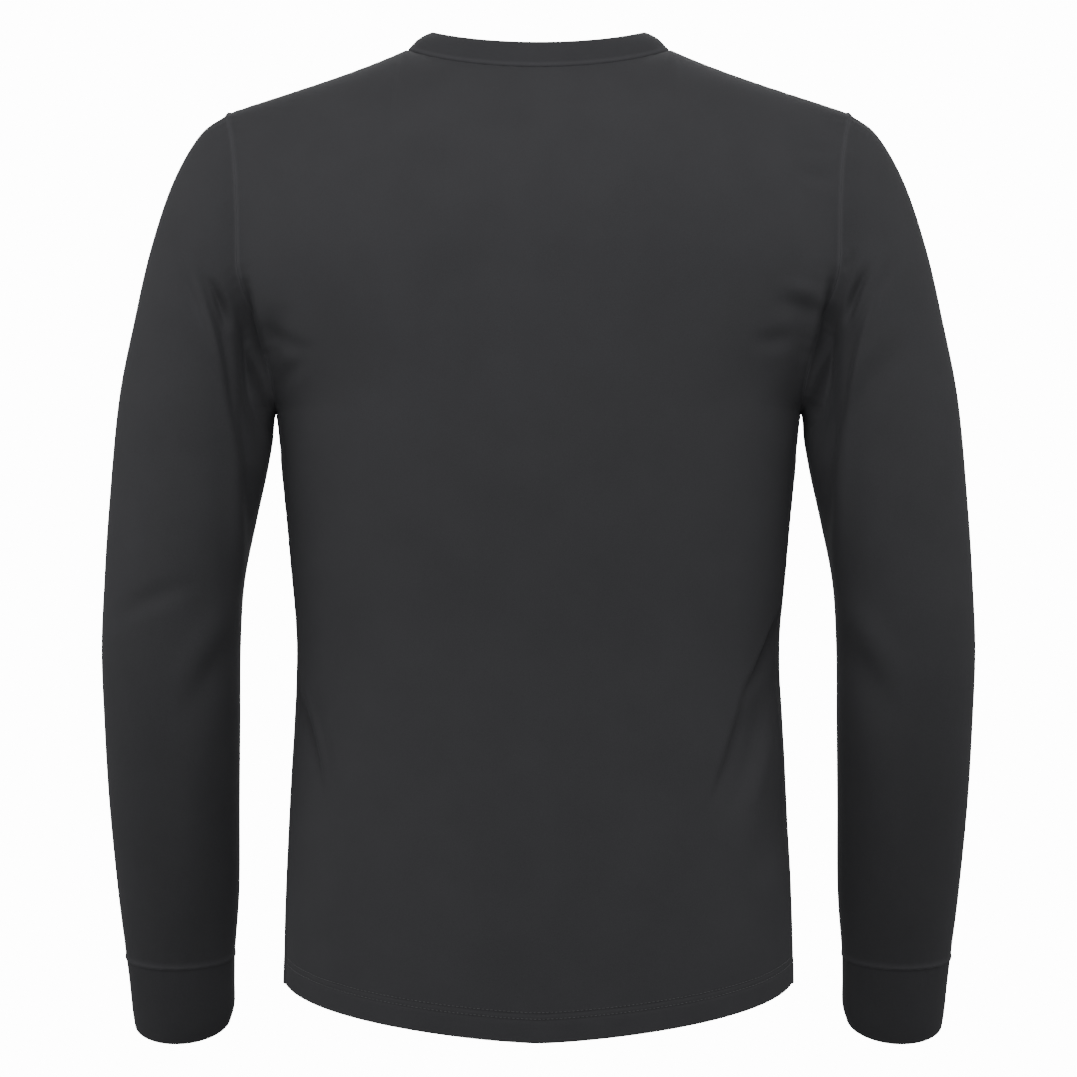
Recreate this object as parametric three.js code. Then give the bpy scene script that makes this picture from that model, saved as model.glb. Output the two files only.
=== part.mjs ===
// Long-sleeved crew-neck base layer top, men's medium, in fine jersey, filled out as worn.
// Millimetres, +Z up. The front faces -Y, the back +Y, and the wearer's left is +X.
// The origin is midway between the neck ends of the two shoulder seams, where shoulders carry it.
import * as THREE from "three";

// Cloth: how thick each wall is, and how far apart two pieces lie at a seam
const cloth = { body: 1.6, cuff: 2, band: 2.4, seamGap: 0.32 };

// How finely the pieces are divided
const grid = { halfColumns: 14, neckColumns: 6, bodyRows: 13, armholeSteps: 6, ringSteps: 2, bandRows: 3 };

// Neckline seam and the band that stands on it; lean is the band's angle from upright
const neck = {
  halfWidth: 94,
  back: { depth: 62, drop: 18.6, power: 1.5, lean: 30, bend: 60 },
  front: { depth: 72, drop: 85, power: 1.3, lean: 40, bend: 50 },
  sideLean: 54,
  bandWidth: 22.5,
  bandRoll: 2.2,
};

// Shoulder seam, from the neckline to the shoulder point, with a little extra fall on the way
const shoulder = { x: 223.5, z: -45.7, sag: 0.28, bend: 90 };

// Armhole: the underarm point, and how far its back and front halves stand from the middle
const armhole = {
  x: 188.5,
  y: 6,
  z: -260,
  back: { scyeX: 212.7, depth: 52 },
  front: { scyeX: 204, depth: 60 },
  underFrom: 0.5,
  underTo: 0.98,
  topPower: 6.5,
  pull: 5,
  flare: 8,
};

// Centre depth of the chest row at the middle of the armhole
const scye = { back: 113, front: 118 };

// Hem: height at the side seams, and how much lower the middle of each panel is cut
const hem = { z: -669.5, backTail: 31.2, frontTail: 12, power: 1.38 };

// Torso sections: height, widest half, centre depths, and the side seam's distance behind the middle
const torsoSections = [
  { at: -669.5, half: 184, back: 112, front: 121, seam: 20 },
  { at: -610, half: 182.7, back: 109, front: 121, seam: 20 },
  { at: -545, half: 179.9, back: 105, front: 119, seam: 20 },
  { at: -480, half: 176.6, back: 101, front: 117, seam: 20 },
  { at: -424, half: 174.9, back: 100, front: 117, seam: 19 },
  { at: -365, half: 179.4, back: 104, front: 121, seam: 16 },
  { at: -310, half: 184, back: 109, front: 126, seam: 11 },
  { at: -260, half: 188.77, back: 112, front: 128, seam: 6 },
];

// Sleeve sections, from the armhole to the cuff seam: the innermost and outermost points seen
// from behind, half depth, how far the middle lies back, and how much lower the back of the ring is
const sleeveSections = [
  { innerX: 188.5, innerZ: -260, outerX: 223.5, outerZ: -45.7, depth: 56, y: 0, drop: 0 },
  { innerX: 189.5, innerZ: -264, outerX: 243.5, outerZ: -60.8, depth: 58, y: 0, drop: 0 },
  { innerX: 190, innerZ: -268, outerX: 263, outerZ: -95, depth: 59, y: 0, drop: 0 },
  { innerX: 190.4, innerZ: -274, outerX: 279, outerZ: -143, depth: 59, y: 0, drop: 0 },
  { innerX: 191.6, innerZ: -284, outerX: 290.7, outerZ: -194, depth: 58, y: 0, drop: 0 },
  { innerX: 195.8, innerZ: -307, outerX: 302, outerZ: -253, depth: 56, y: 1, drop: 0 },
  { innerX: 203, innerZ: -340, outerX: 309.2, outerZ: -333, depth: 53, y: 2, drop: 0 },
  { innerX: 211.3, innerZ: -383, outerX: 312.2, outerZ: -383, depth: 50, y: 3, drop: 0 },
  { innerX: 214.2, innerZ: -430, outerX: 314.3, outerZ: -430, depth: 47.5, y: 1, drop: 1 },
  { innerX: 215, innerZ: -481, outerX: 313.2, outerZ: -481, depth: 45, y: -6, drop: 3 },
  { innerX: 216.4, innerZ: -541, outerX: 311, outerZ: -541, depth: 41.5, y: -19, drop: 5 },
  { innerX: 218, innerZ: -607, outerX: 306.5, outerZ: -607, depth: 37, y: -37, drop: 6 },
  { innerX: 222.5, innerZ: -655.5, outerX: 301.8, outerZ: -657, depth: 32, y: -52, drop: 7 },
];

// Cuff sections, from the cuff seam to the turned edge, in the same columns
const cuffSections = [
  sleeveSections.at(-1),
  { innerX: 223, innerZ: -676, outerX: 300, outerZ: -677.5, depth: 30.5, y: -58, drop: 10 },
  { innerX: 223.4, innerZ: -693, outerX: 298.6, outerZ: -696, depth: 29, y: -63, drop: 12.5 },
  { innerX: 226.8, innerZ: -705, outerX: 297, outerZ: -708, depth: 26.5, y: -66, drop: 14 },
];

// The largest folds: on the back (1) or front (-1), from one point to the other as seen from
// that side, how far the middle bows, how deep the trough is, half its width, and its lean: above 0,
// the wall towards +X of a fold drawn downwards is the steeper one
const folds = [
  { side: 1, x: -177, z: -395, toX: -124, toZ: -560, bow: 10, depth: 5.5, half: 20 },
  { side: 1, x: -182, z: -505, toX: -160, toZ: -600, bow: 6, depth: 3.5, half: 16 },
  { side: 1, x: 184, z: -448, toX: 150, toZ: -560, bow: 6, depth: 3, half: 16 },
  { side: 1, x: 214, z: -160, toX: 187, toZ: -302, bow: 0, depth: 13, half: 12, lean: -0.35 },
  { side: 1, x: -214, z: -160, toX: -187, toZ: -302, bow: 0, depth: 13, half: 12, lean: 0.35 },
  { side: 1, x: 262, z: -190, toX: 205, toZ: -300, bow: 8, depth: 3.5, half: 14 },
  { side: 1, x: -262, z: -205, toX: -205, toZ: -310, bow: -8, depth: 3.5, half: 14 },
  { side: 1, x: 180, z: -185, toX: 186, toZ: -262, bow: -8, depth: 3.5, half: 15 },
  { side: 1, x: -180, z: -175, toX: -186, toZ: -250, bow: 8, depth: 3, half: 15 },
  { side: -1, x: 168, z: -165, toX: 188, toZ: -262, bow: -10, depth: 4.5, half: 15 },
  { side: -1, x: -172, z: -160, toX: -188, toZ: -258, bow: 10, depth: 4.5, half: 15 },
  { side: -1, x: 232, z: -150, toX: 206, toZ: -268, bow: 8, depth: 5, half: 13 },
  { side: -1, x: -232, z: -158, toX: -206, toZ: -272, bow: -8, depth: 5, half: 13 },
  { side: -1, x: 178, z: -400, toX: 120, toZ: -520, bow: -9, depth: 4.5, half: 20 },
  { side: -1, x: -180, z: -410, toX: -128, toZ: -500, bow: 8, depth: 4, half: 18 },
  { side: -1, x: 222, z: -425, toX: 290, toZ: -395, bow: 4, depth: 4, half: 11 },
  { side: -1, x: -224, z: -440, toX: -292, toZ: -408, bow: -4, depth: 4, half: 11 },
  { side: -1, x: 224, z: -470, toX: 286, toZ: -452, bow: 3, depth: 3, half: 10 },
  { side: -1, x: -222, z: -478, toX: -288, toZ: -462, bow: -3, depth: 3, half: 10 },
];

// Small helpers
const radians = THREE.MathUtils.degToRad;
const mix = THREE.MathUtils.lerp;
const vector = (x, y, z) => new THREE.Vector3(x, y, z);

function ease(t) {
  return THREE.MathUtils.smoothstep(t, 0, 1);
}

// A row between a table's rows: each column runs smoothly through its values (cubic Hermite)
function rowAt(table, keys, key) {
  let i = 0;
  while (i < table.length - 2 && key > keys[i + 1]) i += 1;
  const span = keys[i + 1] - keys[i];
  const t = (key - keys[i]) / span;
  const row = {};
  for (const column of Object.keys(table[0])) {
    const value = (k) => table[k][column];
    const slope = (k) => {
      const a = Math.max(k - 1, 0);
      const b = Math.min(k + 1, table.length - 1);
      return ((value(b) - value(a)) / (keys[b] - keys[a])) * span;
    };
    const rise = value(i + 1) - value(i);
    const bend = slope(i) + slope(i + 1) - 2 * rise;
    row[column] = value(i) + t * slope(i) + t * t * (rise - slope(i) - bend) + t * t * t * bend;
  }
  return row;
}

const torsoKeys = torsoSections.map((row) => row.at);
const sectionNumbers = (table) => table.map((row, i) => i);

// Armhole seam, by its angle: 0 at the underarm, 90 at the back, 180 at the shoulder, 270 in front
function armholePoint(angle) {
  const cos = Math.cos(radians(angle));
  const sin = Math.sin(radians(angle));
  const half = sin >= 0 ? armhole.back : armhole.front;
  const under = (1 + cos) / 2;
  const top = (1 - cos) / 2;
  const drawn = ease((under - armhole.underFrom) / (armhole.underTo - armhole.underFrom));
  const x =
    half.scyeX +
    (armhole.x - half.scyeX) * drawn +
    (shoulder.x - half.scyeX) * top ** armhole.topPower;
  const y = armhole.y * under + half.depth * sin;
  const z = armhole.z * under + shoulder.z * top;
  return vector(x, y, z);
}

// Top edge of a panel: the neckline across its middle, then the shoulder seam out to its point
function topEdge(side, u) {
  const across = Math.abs(u);
  const neckShare = grid.neckColumns / grid.halfColumns;
  const shape = side > 0 ? neck.back : neck.front;
  if (across <= neckShare) {
    const angle = (Math.PI / 2) * (across / neckShare);
    const cos = Math.max(Math.cos(angle), 0);
    const x = Math.sign(u) * neck.halfWidth * Math.sin(angle);
    return vector(x, side * shape.depth * cos, -shape.drop * cos ** shape.power);
  }
  const t = (across - neckShare) / (1 - neckShare);
  const x = Math.sign(u) * mix(neck.halfWidth, shoulder.x, t);
  return vector(x, 0, shoulder.z * (t + shoulder.sag * t * (1 - t) ** 2));
}

// An arc across a panel: the same part of an ellipse, whatever its turn, from centre to edge
function arcAcross(edge, centreY, turn, u) {
  const angle = radians(turn);
  const x = (edge.x * Math.sin(angle * u)) / Math.sin(angle);
  const share = (Math.cos(angle * u) - Math.cos(angle)) / (1 - Math.cos(angle));
  return vector(x, mix(edge.y, centreY, share), edge.z);
}

// How far a panel's arc turns from its middle to a seam that lies at a given depth
function seamTurn(side, seamY, depth) {
  return 90 - side * THREE.MathUtils.radToDeg(Math.asin(seamY / depth));
}

// Below the armhole: arcs through the torso sections, with the hem's tail fading upwards
function lowerTorso(side, u, t) {
  const z = mix(hem.z, armhole.z, t);
  const section = rowAt(torsoSections, torsoKeys, z);
  const depth = side > 0 ? section.back : section.front;
  const edge = vector(section.half * Math.sqrt(1 - (section.seam / section.back) ** 2), section.seam, z);
  const point = arcAcross(edge, side * depth, seamTurn(side, section.seam, depth), u);
  const tail = side > 0 ? hem.backTail : hem.frontTail;
  const inward = 1 - Math.abs(u) ** hem.power;
  point.z -= tail * (1 - t) * inward;
  return point;
}

// Half width and depth of the chest's ellipse, at a share of the way from the armpit to mid armhole:
// each leaves the armpit at the torso's own slope and arrives level
function chestSizes(side, share) {
  const [below, armpit] = torsoSections.slice(-2);
  const name = side > 0 ? "back" : "front";
  const widest = armholePoint(side * 90);
  const climb = (widest.z - armhole.z) / (armpit.at - below.at);
  const grow = (key, top) => {
    const slope = (armpit[key] - below[key]) * climb;
    return mix(armpit[key], top, ease(share)) + slope * share * (1 - share) ** 2;
  };
  const topHalf = widest.x / Math.sqrt(1 - (widest.y / scye[name]) ** 2);
  return { half: grow("half", topHalf), depth: grow(name, scye[name]) };
}

// Beside the lower armhole: ellipses cut off at the armhole seam, with their ends drawn out to it;
// towards the middle the rows rise more evenly than the seam does
function chest(side, u, t) {
  const seam = armholePoint(side * 90 * t);
  const widest = armholePoint(side * 90);
  const seamShare = (seam.z - armhole.z) / (widest.z - armhole.z);
  const atSeam = chestSizes(side, seamShare);
  const turn = seamTurn(side, seam.y, atSeam.depth);
  const miss = seam.x - atSeam.half * Math.sin(radians(turn));
  const share = mix((t + seamShare) / 2, seamShare, Math.abs(u) ** 4);
  const { half, depth } = chestSizes(side, share);
  const angle = radians(turn * u);
  const x = half * Math.sin(angle) + Math.sign(u) * miss * Math.abs(u) ** armhole.flare;
  return vector(x, side * depth * Math.cos(angle), mix(armhole.z, widest.z, share));
}

// Above it: each column rolls over from the chest to the neckline or the shoulder seam
function yoke(side, u, t) {
  const low = chest(side, u, 1);
  const top = topEdge(side, u);
  const neckShare = grid.neckColumns / grid.halfColumns;
  const bend = mix((side > 0 ? neck.back : neck.front).bend, shoulder.bend, ease(Math.abs(u) / neckShare));
  const angle = radians(bend);
  const out = (Math.cos(angle * t) - Math.cos(angle)) / (1 - Math.cos(angle));
  const up = Math.sin(angle * t) / Math.sin(angle);
  return vector(mix(top.x, low.x, out), mix(top.y, low.y, out), mix(low.z, top.z, up));
}

// A point of the back (side 1) or front (side -1): u from -1 to 1 across, v from 0 at the hem to 3
function torsoPoint(side, u, v) {
  if (v <= 1) return lowerTorso(side, u, v);
  if (v <= 2) return chest(side, u, v - 1);
  const t = v - 2;
  const point = yoke(side, u, t);
  const seam = armholePoint(side * (90 + 90 * t));
  const miss = seam.sub(yoke(side, 1, t)).multiplyScalar(Math.abs(u) ** armhole.pull);
  miss.x *= Math.sign(u);
  return point.add(miss);
}

// A ring of a sleeve or cuff section, by its angle, measured as on the armhole
function ringPoint(row, angle) {
  const cos = Math.cos(radians(angle));
  const sin = Math.sin(radians(angle));
  const x = mix(row.innerX, row.outerX, (1 - cos) / 2);
  const z = mix(row.innerZ, row.outerZ, (1 - cos) / 2) - row.drop * sin;
  return vector(x, row.y + row.depth * sin, z);
}

// A sleeve point: s counts sections from the armhole, whose own curve fades over the first four
function sleevePoint(angle, s) {
  const point = ringPoint(rowAt(sleeveSections, sectionNumbers(sleeveSections), s), angle);
  const seam = armholePoint(angle).sub(ringPoint(sleeveSections[0], angle));
  return point.addScaledVector(seam, ease(1 - s / 4));
}

function cuffPoint(angle, s) {
  return ringPoint(rowAt(cuffSections, sectionNumbers(cuffSections), s), angle);
}

// Neckline seam as a loop: k runs from 0 to 4, from the right shoulder round the back
function neckLoop(k) {
  const share = grid.neckColumns / grid.halfColumns;
  return k <= 2 ? topEdge(1, share * (k - 1)) : topEdge(-1, share * (3 - k));
}

// The band stands on the seam, square to it, and leans inwards; w runs from 0 to 1 up the band
function bandPoint(k, w) {
  const seam = neckLoop(k);
  const step = 0.01;
  const along = neckLoop((k + step) % 4).sub(neckLoop((k - step + 4) % 4)).normalize();
  const shape = k <= 2 ? neck.back : neck.front;
  const outward = vector(seam.x / neck.halfWidth ** 2, seam.y / shape.depth ** 2, 0).normalize();
  const lean = radians(mix(neck.sideLean, shape.lean, Math.abs(seam.y) / shape.depth));
  const up = vector(0, 0, Math.cos(lean)).addScaledVector(outward, -Math.sin(lean));
  up.addScaledVector(along, -up.dot(along)).normalize();
  const proud = vector().crossVectors(along, up).normalize();
  if (proud.dot(outward) < 0) proud.negate();
  return seam.addScaledVector(up, neck.bandWidth * w).addScaledVector(proud, neck.bandRoll * Math.sin(Math.PI * w));
}

// How far the folds move a point out (or in, below zero), from its place and the way it faces
function foldOffset(point, facing) {
  let offset = 0;
  for (const fold of folds) {
    const along = new THREE.Vector2(fold.toX - fold.x, fold.toZ - fold.z);
    const length = along.length();
    along.divideScalar(length);
    const from = new THREE.Vector2(point.x - fold.x, point.z - fold.z);
    const t = from.dot(along) / length;
    if (t <= 0 || t >= 1) continue;
    const across = from.cross(along) - fold.bow * 4 * t * (1 - t);
    const reach = fold.half * (1 + (fold.lean ?? 0) * Math.sign(across));
    const r = (across / reach) ** 2;
    const trough = (1 - 0.9 * r) * Math.exp(-r);
    const faces = THREE.MathUtils.smoothstep(facing.y * fold.side, -0.1, 0.45);
    offset -= fold.depth * trough * Math.sin(Math.PI * t) ** 1.2 * faces;
  }
  return offset;
}

// A piece of cloth as a grid of points on its outer face, with the way each point faces
function makePiece({ name, family, columns, rows, closed, point, outward, wall, seams }) {
  const across = closed ? columns : columns + 1;
  const index = (i, j) => j * across + (closed ? (i + across) % across : i);
  const points = [];
  for (let j = 0; j <= rows; j += 1) {
    for (let i = 0; i < across; i += 1) points.push(point(i / columns, j / rows));
  }
  const span = (n) => {
    const i = n % across;
    const j = (n - i) / across;
    const left = points[index(closed ? i - 1 : Math.max(i - 1, 0), j)];
    const right = points[index(closed ? i + 1 : Math.min(i + 1, columns), j)];
    const low = points[index(i, Math.max(j - 1, 0))];
    const high = points[index(i, Math.min(j + 1, rows))];
    return { acrossWay: vector().subVectors(right, left), upWay: vector().subVectors(high, low) };
  };
  const facing = points.map((p, n) => {
    const { acrossWay, upWay } = span(n);
    return acrossWay.cross(upWay).normalize().multiplyScalar(outward);
  });
  return { name, family, columns, rows, closed, across, index, points, span, facing, wall, seams };
}

// At its seams a piece stops half a gap short, square to the seam and to the way through the wall
function atSeams(piece) {
  const { across, columns, rows, seams, closed } = piece;
  return piece.points.map((p, n) => {
    const i = n % across;
    const j = (n - i) / across;
    const { acrossWay, upWay } = piece.span(n);
    const place = p.clone();
    const retreat = (way, along) => {
      for (const held of [piece.facing[n], along.normalize()]) way.addScaledVector(held, -way.dot(held));
      place.addScaledVector(way.normalize(), cloth.seamGap / 2);
    };
    if (seams.sides && !closed && i === 0) retreat(acrossWay.clone(), upWay.clone());
    if (seams.sides && !closed && i === columns) retreat(acrossWay.clone().negate(), upWay.clone());
    if (seams.start && j === 0) retreat(upWay.clone(), acrossWay.clone());
    if (seams.end && j === rows) retreat(upWay.clone().negate(), acrossWay.clone());
    return place;
  });
}

const placeKey = (p) => [p.x, p.y, p.z].map((value) => Math.round(value * 50)).join(" ");

// Where pieces meet, they share one way through the wall, so both walls end on the same mitre
function shareMitres(pieces) {
  const meeting = new Map();
  for (const piece of pieces)
    piece.points.forEach((p, n) => {
      const key = placeKey(p);
      if (!meeting.has(key)) meeting.set(key, {});
      const families = meeting.get(key);
      families[piece.family] ??= vector();
      families[piece.family].add(piece.facing[n]);
    });
  for (const piece of pieces)
    piece.facing = piece.points.map((p) => {
      const sum = vector();
      for (const normal of Object.values(meeting.get(placeKey(p)))) sum.add(normal.normalize());
      return sum.normalize();
    });
}

// The piece's wall as one closed geometry: outer face, inner face and the edges between them
function wallGeometry(piece) {
  const outer = atSeams(piece).map((p, n) =>
    p.addScaledVector(piece.facing[n], foldOffset(piece.points[n], piece.facing[n])),
  );
  const inner = outer.map((p, n) => p.clone().addScaledVector(piece.facing[n], -piece.wall));
  const count = outer.length;
  const points = outer.concat(inner);
  const faces = [];
  const quad = (a, b, c, d) => {
    const straight = points[a].distanceToSquared(points[c]) <= points[b].distanceToSquared(points[d]);
    faces.push(...(straight ? [a, b, c, a, c, d] : [a, b, d, b, c, d]));
  };
  const { columns, rows, closed, index } = piece;
  for (let j = 0; j < rows; j += 1)
    for (let i = 0; i < columns; i += 1) {
      const [a, b, c, d] = [index(i, j), index(i + 1, j), index(i + 1, j + 1), index(i, j + 1)];
      quad(a, b, c, d);
      quad(count + d, count + c, count + b, count + a);
    }
  for (let i = 0; i < columns; i += 1) {
    quad(index(i + 1, 0), index(i, 0), count + index(i, 0), count + index(i + 1, 0));
    quad(index(i, rows), index(i + 1, rows), count + index(i + 1, rows), count + index(i, rows));
  }
  if (!closed)
    for (let j = 0; j < rows; j += 1) {
      quad(index(0, j), index(0, j + 1), count + index(0, j + 1), count + index(0, j));
      quad(index(columns, j + 1), index(columns, j), count + index(columns, j), count + index(columns, j + 1));
    }
  const geometry = new THREE.BufferGeometry();
  const positions = points.flatMap((p) => p.toArray());
  geometry.setAttribute("position", new THREE.Float32BufferAttribute(positions, 3));
  geometry.setIndex(facesOut(faces, points));
  geometry.computeVertexNormals();
  return geometry;
}

// The faces turned so that the volume they enclose is positive
function facesOut(faces, points) {
  let volume = 0;
  for (let n = 0; n < faces.length; n += 3) {
    const [a, b, c] = [points[faces[n]], points[faces[n + 1]], points[faces[n + 2]]];
    volume += a.dot(vector().crossVectors(b, c));
  }
  return volume > 0 ? faces : faces.slice().reverse();
}

function mirrored(side, point) {
  point.x *= side;
  return point;
}

function panel(name, side) {
  const bodyShare = grid.bodyRows;
  const rows = bodyShare + 2 * grid.armholeSteps;
  const height = (v) => {
    const row = v * rows;
    return row <= bodyShare ? row / bodyShare : 1 + (row - bodyShare) / grid.armholeSteps;
  };
  return makePiece({
    name,
    family: "torso",
    columns: 2 * grid.halfColumns,
    rows,
    closed: false,
    point: (u, v) => torsoPoint(side, 2 * u - 1, height(v)),
    outward: -side,
    wall: cloth.body,
    seams: { sides: true, end: true },
  });
}

function sleeve(name, side) {
  const sections = sleeveSections.length - 1;
  return makePiece({
    name,
    family: "sleeve",
    columns: 4 * grid.armholeSteps,
    rows: grid.ringSteps * sections,
    closed: true,
    point: (u, v) => mirrored(side, sleevePoint(360 * u, v * sections)),
    outward: side,
    wall: cloth.body,
    seams: { start: true, end: true },
  });
}

function cuff(name, side) {
  const sections = cuffSections.length - 1;
  return makePiece({
    name,
    family: "cuff",
    columns: 4 * grid.armholeSteps,
    rows: grid.ringSteps * sections,
    closed: true,
    point: (u, v) => mirrored(side, cuffPoint(360 * u, v * sections)),
    outward: side,
    wall: cloth.cuff,
    seams: { start: true },
  });
}

function neckband() {
  return makePiece({
    name: "neckband",
    family: "band",
    columns: 4 * grid.neckColumns,
    rows: grid.bandRows,
    closed: true,
    point: (u, v) => bandPoint(4 * u, v),
    outward: -1,
    wall: cloth.band,
    seams: { start: true },
  });
}

const jersey = () => new THREE.MeshStandardMaterial({ color: 0x37373a, roughness: 0.86, metalness: 0 });

const pieces = [
  panel("back", 1),
  panel("front", -1),
  sleeve("left_sleeve", 1),
  sleeve("right_sleeve", -1),
  cuff("left_cuff", 1),
  cuff("right_cuff", -1),
  neckband(),
];
shareMitres(pieces);

const top = new THREE.Group();
for (const piece of pieces) {
  const mesh = new THREE.Mesh(wallGeometry(piece), jersey());
  mesh.name = piece.name;
  top.add(mesh);
}

export default top;
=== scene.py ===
import bpy
import numpy as np
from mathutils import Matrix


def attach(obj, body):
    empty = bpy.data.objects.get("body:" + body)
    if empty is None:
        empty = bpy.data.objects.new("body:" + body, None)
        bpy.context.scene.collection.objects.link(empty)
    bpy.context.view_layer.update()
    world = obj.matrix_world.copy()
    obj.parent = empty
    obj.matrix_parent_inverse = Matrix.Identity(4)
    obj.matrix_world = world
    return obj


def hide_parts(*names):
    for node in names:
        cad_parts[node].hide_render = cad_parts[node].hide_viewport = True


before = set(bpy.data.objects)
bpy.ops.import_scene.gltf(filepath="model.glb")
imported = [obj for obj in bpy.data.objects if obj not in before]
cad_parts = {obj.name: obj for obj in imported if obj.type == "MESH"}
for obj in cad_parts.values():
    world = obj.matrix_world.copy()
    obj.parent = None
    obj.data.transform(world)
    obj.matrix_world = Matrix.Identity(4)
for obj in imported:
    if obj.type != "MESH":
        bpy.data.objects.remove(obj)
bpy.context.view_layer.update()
print("frame loaded:", sorted(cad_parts))

metre = 0.001  # the tables below are in millimetres; a mesh is in metres

# Camera: level, straight behind the top, with its frame's width as measured at the middle of the top
shot = {"distance": 2.9, "height": -0.351, "frameWidth": 0.77544, "sensor": 36.0}

# Studio: grey floor, pale room, and large soft lights (name, place, aim, size in metres, watts).
# The room lights the top softly, and shows brighter behind it as a lit backdrop does
studio = {
    "floorHeight": -1.5,
    "floorRadius": 5.0,
    "floorColor": (0.4, 0.4, 0.4, 1.0),
    "roomColor": (1.0, 1.0, 1.0, 1.0),
    "roomLight": 0.27,
    "roomShown": 14.0,
    "lights": (
        ("back_light", (0.05, 1.32, 0.57), (0.0, 0.0, 0.0), 1.4, 21.2),
        ("front_light", (-0.1, -1.45, 0.5), (0.0, 0.0, -0.1), 1.5, 18.0),
        ("left_light", (2.1, 0.35, 0.12), (0.2, 0.0, -0.25), 1.5, 17.5),
        ("right_light", (-2.1, 0.25, 0.45), (-0.2, 0.0, -0.15), 1.5, 17.0),
    ),
}


# Straight mix of a and b by the share t
def mix(a, b, t):
    return a + (b - a) * t


# Smooth ramp from 0 at low to 1 at high: 3 s^2 - 2 s^3 of the clipped share s
def ramp(t, low=0.0, high=1.0):
    s = np.clip((t - low) / (high - low), 0.0, 1.0)
    return s * s * (3.0 - 2.0 * s)


# Three coordinate arrays as one array of points
def place3(x, y, z):
    return np.stack(np.broadcast_arrays(x, y, z), axis=-1).astype(float)


def dot(a, b):
    return (a * b).sum(axis=-1, keepdims=True)


def unit(v):
    return v / np.maximum(np.linalg.norm(v, axis=-1, keepdims=True), 1e-9)


def makeCamera():
    data = bpy.data.cameras.new("camera")
    data.sensor_width = shot["sensor"]
    data.lens = shot["sensor"] * shot["distance"] / shot["frameWidth"]
    camera = bpy.data.objects.new("camera", data)
    camera.location = (0.0, shot["distance"], shot["height"])
    camera.rotation_euler = (np.pi / 2, 0.0, np.pi)
    bpy.context.scene.collection.objects.link(camera)
    bpy.context.scene.camera = camera


# A large square soft light at a place, turned to face its aim
def makeLight(name, place, aim, size, watts):
    data = bpy.data.lights.new(name, "AREA")
    data.shape = "SQUARE"
    data.size = size
    data.energy = watts
    light = bpy.data.objects.new(name, data)
    light.location = place
    way = light.location.copy()
    way.x, way.y, way.z = (aim[k] - place[k] for k in range(3))
    light.rotation_euler = way.to_track_quat("-Z", "Y").to_euler()
    bpy.context.scene.collection.objects.link(light)


def makeStudio():
    world = bpy.data.worlds.new("pale_room")
    world.use_nodes = True
    tree = world.node_tree
    lit, shown = tree.nodes["Background"], tree.nodes.new("ShaderNodeBackground")
    seen = tree.nodes.new("ShaderNodeMixShader")
    for background, strength in ((lit, "roomLight"), (shown, "roomShown")):
        background.inputs["Color"].default_value = studio["roomColor"]
        background.inputs["Strength"].default_value = studio[strength]
    tree.links.new(tree.nodes.new("ShaderNodeLightPath").outputs["Is Camera Ray"], seen.inputs["Fac"])
    tree.links.new(lit.outputs[0], seen.inputs[1])
    tree.links.new(shown.outputs[0], seen.inputs[2])
    tree.links.new(seen.outputs[0], tree.nodes["World Output"].inputs["Surface"])
    bpy.context.scene.world = world
    for light in studio["lights"]:
        makeLight(*light)
    turn = np.linspace(0.0, 2 * np.pi, 96, endpoint=False)
    radius = studio["floorRadius"]
    rim = place3(radius * np.cos(turn), radius * np.sin(turn), studio["floorHeight"])
    mesh = bpy.data.meshes.new("grey_floor")
    mesh.from_pydata(rim.tolist(), [], [list(range(len(turn)))])
    floor = bpy.data.objects.new("grey_floor", mesh)
    paint = bpy.data.materials.new("grey_floor")
    paint.use_nodes = True
    shader = paint.node_tree.nodes["Principled BSDF"]
    shader.inputs["Base Color"].default_value = studio["floorColor"]
    shader.inputs["Roughness"].default_value = 0.9
    mesh.materials.append(paint)
    bpy.context.scene.collection.objects.link(floor)


makeCamera()
makeStudio()
print("camera and studio made")


# A table's columns between its rows: cubic Hermite curves with central-difference slopes
def rowAt(columns, rows, keys, key):
    data = np.array(rows, float)
    keys = np.array(keys, float)
    last = len(keys) - 1
    i = np.clip(np.searchsorted(keys, key, side="left") - 1, 0, last - 1)
    before = np.maximum(np.arange(last + 1) - 1, 0)
    after = np.minimum(np.arange(last + 1) + 1, last)
    slopes = (data[after] - data[before]) / (keys[after] - keys[before])[:, None]
    span = (keys[i + 1] - keys[i])[..., None]
    t = (key - keys[i])[..., None] / span
    start, end = slopes[i] * span, slopes[i + 1] * span
    rise = data[i + 1] - data[i]
    bend = start + end - 2 * rise
    value = data[i] + t * start + t ** 2 * (rise - start - bend) + t ** 3 * bend
    return {name: value[..., n] for n, name in enumerate(columns)}


# Form of the top, in the same named sizes as its solids
neck = {
    "halfWidth": 94.0,
    "share": 6 / 14,  # how much of a panel's top edge is neckline
    "sideLean": 54.0,
    "bandWidth": 22.5,
    "bandRoll": 2.2,
    "back": {"depth": 62.0, "drop": 18.6, "power": 1.5, "lean": 30.0, "bend": 60.0},
    "front": {"depth": 72.0, "drop": 85.0, "power": 1.3, "lean": 40.0, "bend": 50.0},
}
shoulder = {"x": 223.5, "z": -45.7, "sag": 0.28, "bend": 90.0}
armhole = {
    "x": 188.5,
    "y": 6.0,
    "z": -260.0,
    "back": {"scyeX": 212.7, "depth": 52.0},
    "front": {"scyeX": 204.0, "depth": 60.0},
    "underFrom": 0.5,
    "underTo": 0.98,
    "topPower": 6.5,
    "pull": 5,
    "flare": 8,
}
scye = {"back": 113.0, "front": 118.0}
hem = {"z": -669.5, "back": 31.2, "front": 12.0, "power": 1.38}
torsoColumns = ("at", "half", "back", "front", "seam")
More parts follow.
